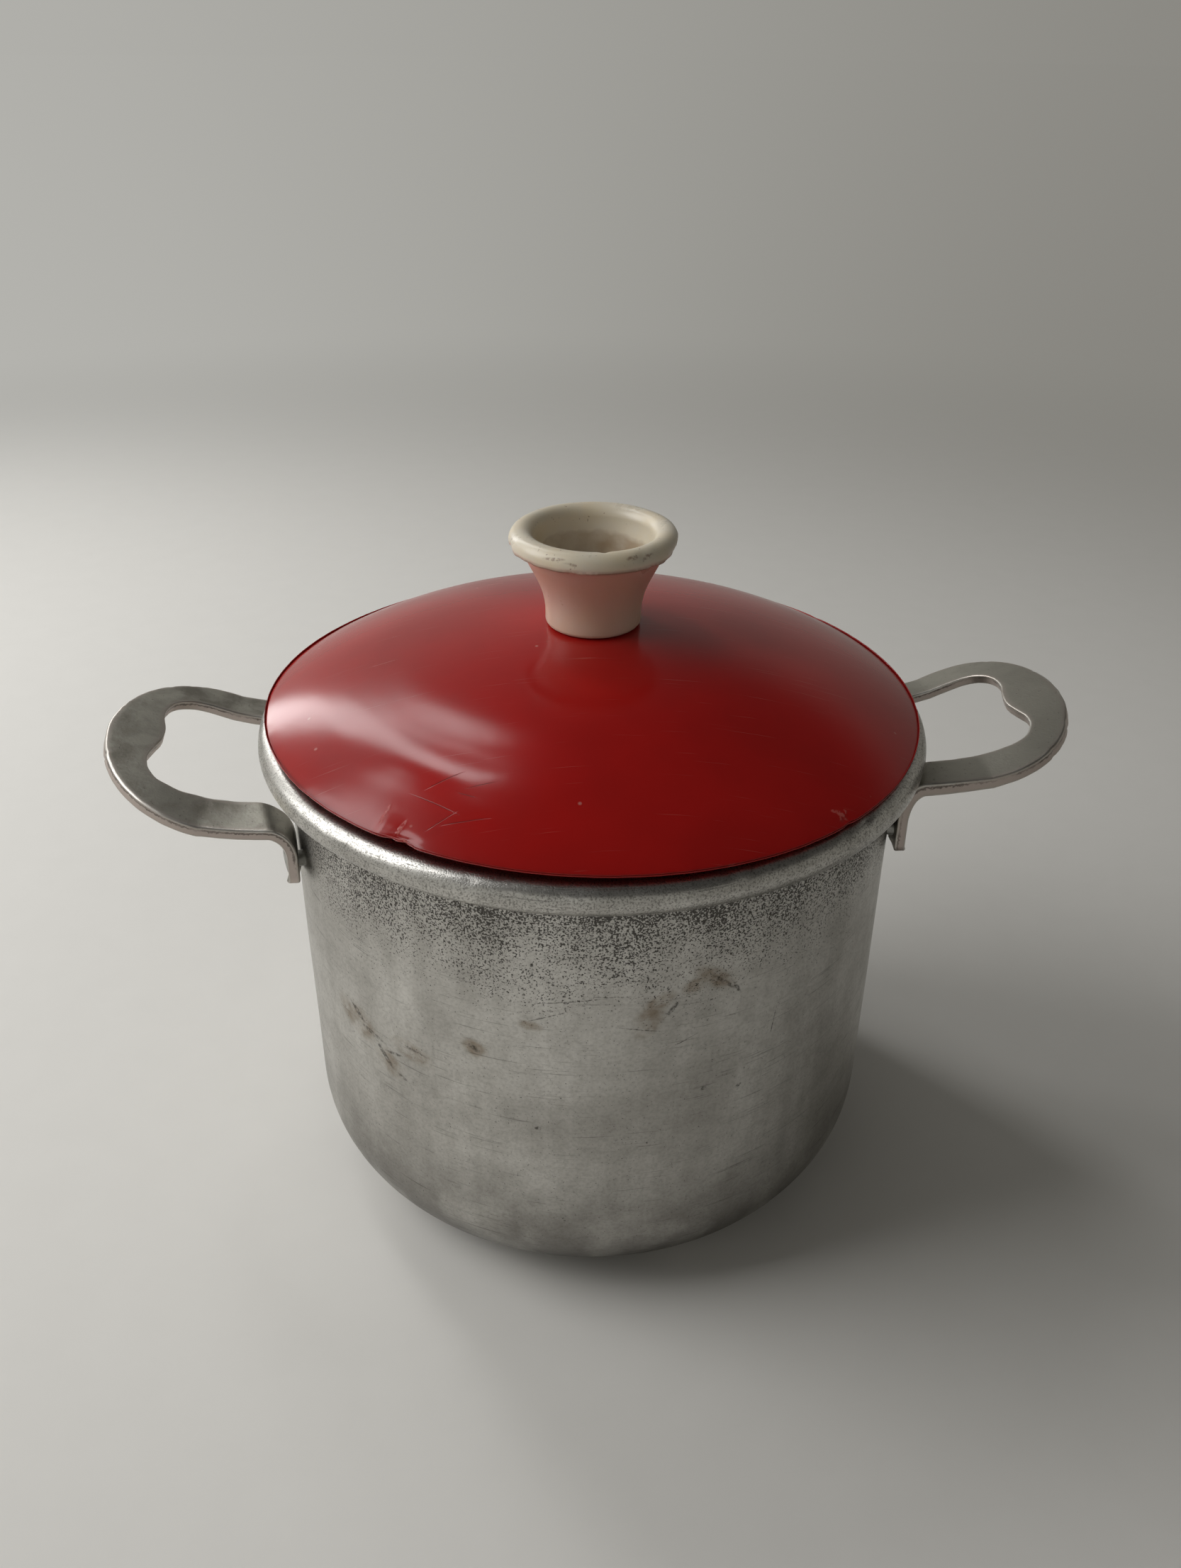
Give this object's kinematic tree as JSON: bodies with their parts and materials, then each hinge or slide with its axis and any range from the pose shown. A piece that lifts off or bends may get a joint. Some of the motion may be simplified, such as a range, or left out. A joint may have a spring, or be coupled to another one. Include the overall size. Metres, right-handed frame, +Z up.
{
  "type": "toy cooking pot with lid",
  "caption": "Small toy cooking pot: drawn aluminium cylinder with rounded foot and rolled rim, riveted loop handles, and a loose domed plastic lid with a cup-shaped knob.",
  "frame": {"origin": "centre of the flat base, on the surface that the pot stands on", "axes": "+Z up along the pot's axis, +X towards the right-hand handle as pictured, +Y away from the viewer"},
  "size_m": [0.1102, 0.0758, 0.0814],
  "materials": {
    "drawn_aluminium": "satin deep-drawn sheet, pitted below the rim, scratched and stained",
    "stamped_aluminium": "dull stamped sheet with sheared edges",
    "rivet_aluminium": "dull peened rivet stock",
    "red_plastic": "glossy moulded plastic with fine scratches",
    "cream_plastic": "semi-gloss moulded plastic, yellowed, with dirt in the cup"
  },
  "bodies": {
    "pot": {"pot_body": "drawn_aluminium", "handle_left": "stamped_aluminium", "handle_right": "stamped_aluminium", "handle_rivet_left_front": "rivet_aluminium", "handle_rivet_left_rear": "rivet_aluminium", "handle_rivet_right_front": "rivet_aluminium", "handle_rivet_right_rear": "rivet_aluminium"},
    "lid": {"lid": "red_plastic", "knob": "cream_plastic", "knob_rivet": "rivet_aluminium", "knob_washer": "rivet_aluminium"}
  },
  "joints": [
    {"name": "lid_lift", "type": "slide", "parent": "pot", "child": "lid", "axis": [0, 0, 1], "range_m": [0, 0.04]}
  ]
}
